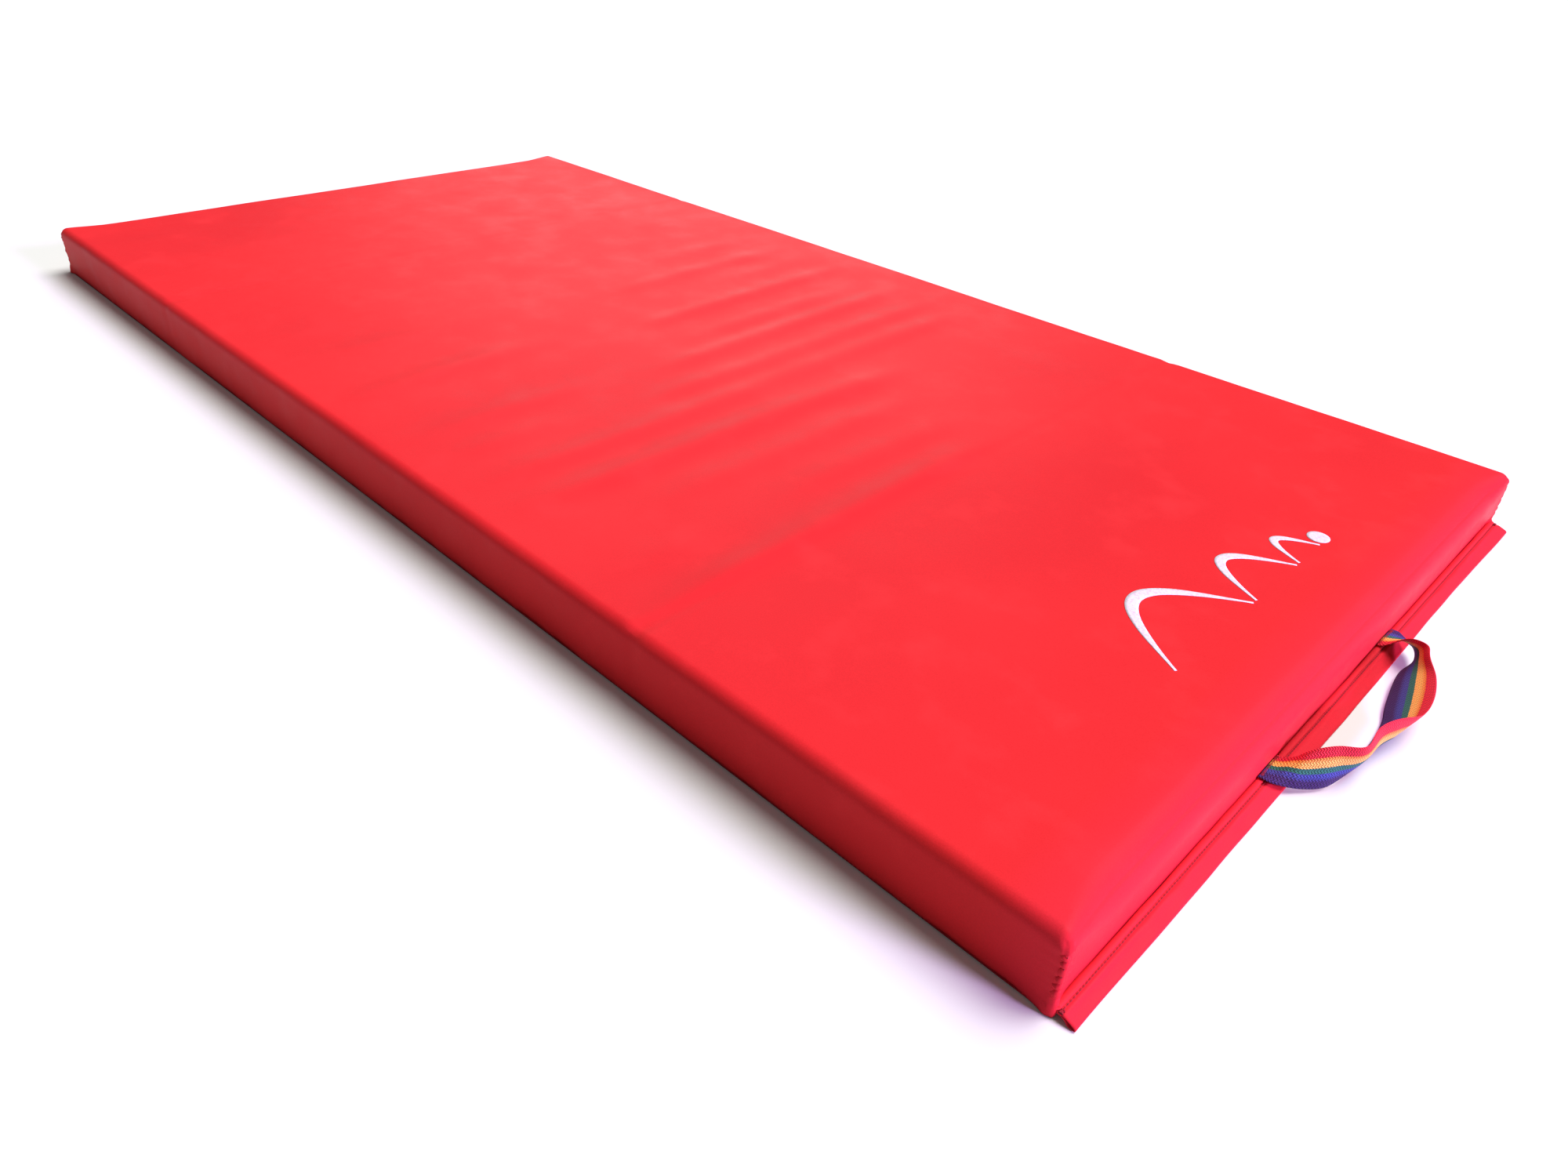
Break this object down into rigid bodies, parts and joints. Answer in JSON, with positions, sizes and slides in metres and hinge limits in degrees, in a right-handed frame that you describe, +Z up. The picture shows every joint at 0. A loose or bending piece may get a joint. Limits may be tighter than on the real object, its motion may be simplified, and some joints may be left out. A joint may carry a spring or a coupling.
{
  "type": "crash landing mat",
  "caption": "Rectangular foam landing mat in a red coated-fabric cover, with a doubled flap over the end zip, a striped webbing carrying handle and a printed mark.",
  "frame": {"origin": "centre of the mat's underside, at the middle of the slab's length and width (the flap and handle stand out beyond the slab at +X)", "axes": "+X along the length towards the handle end, +Y across the width, +Z up"},
  "size_m": [1.8958, 0.9154, 0.0702],
  "materials": {
    "cover_red": "coated fabric (PVC on polyester), satin, red",
    "cover_base": "coated fabric, dark red anti-slip underside, matt",
    "foam_soft": "open-cell polyurethane foam",
    "foam_firm": "closed-cell polyethylene foam",
    "thread_red": "bonded polyester sewing thread, dark red",
    "zip_tape": "woven polyester zip tape, red",
    "zip_coil": "polyester coil, red",
    "zip_metal": "zinc, satin nickel look",
    "webbing": "woven polypropylene webbing in rainbow stripes",
    "ink_white": "screen-printed ink, pale lilac white"
  },
  "bodies": {
    "mat": {"foam_core_soft_layer": "foam_soft", "foam_core_firm_layer": "foam_firm", "cover_top_panel": "cover_red", "cover_base_panel": "cover_base", "base_seam_thread": "thread_red", "zip_tape_upper": "zip_tape", "zip_tape_lower": "zip_tape", "zip_coil_upper": "zip_coil", "zip_coil_lower": "zip_coil", "printed_mark": "ink_white", "zip_stop_near": "zip_metal", "zip_stop_far": "zip_metal", "corner_seam_plain_end_near": "cover_red", "corner_seam_plain_end_far": "cover_red", "corner_seam_handle_end_near": "cover_red", "corner_seam_handle_end_far": "cover_red"},
    "flap": {"end_welt": "cover_red", "closure_flap": "cover_red", "flap_topstitch": "thread_red", "flap_back_tack_near": "thread_red", "flap_back_tack_far": "thread_red"},
    "handle": {"handle_webbing": "webbing", "handle_bar_tack_near": "thread_red", "handle_bar_tack_far": "thread_red"},
    "zip_slider": {"zip_slider": "zip_metal"},
    "zip_pull": {"zip_pull": "zip_metal"}
  },
  "joints": [
    {"name": "handle_lift", "type": "hinge", "parent": "mat", "child": "handle", "pos_m": [0.9133, 0, 0.0109], "axis": [0, -1, 0], "range_deg": [0, 90], "deforming": ["handle_webbing"]},
    {"name": "flap_lift", "type": "hinge", "parent": "mat", "child": "flap", "pos_m": [0.9131, 0, 0.0102], "axis": [0, -1, 0], "range_deg": [0, 85.5]},
    {"name": "zip_slide", "type": "slide", "parent": "mat", "child": "zip_slider", "axis": [0, -1, 0], "range_m": [0, 0.852]},
    {"name": "pull_swing", "type": "hinge", "parent": "zip_slider", "child": "zip_pull", "pos_m": [0.91395, 0.427, 0.0037], "axis": [0, 0, 1], "range_deg": [0, 10]}
  ],
  "couplings": [
    {"joint": "flap_lift", "follows": "handle_lift", "ratio": 0.95}
  ]
}
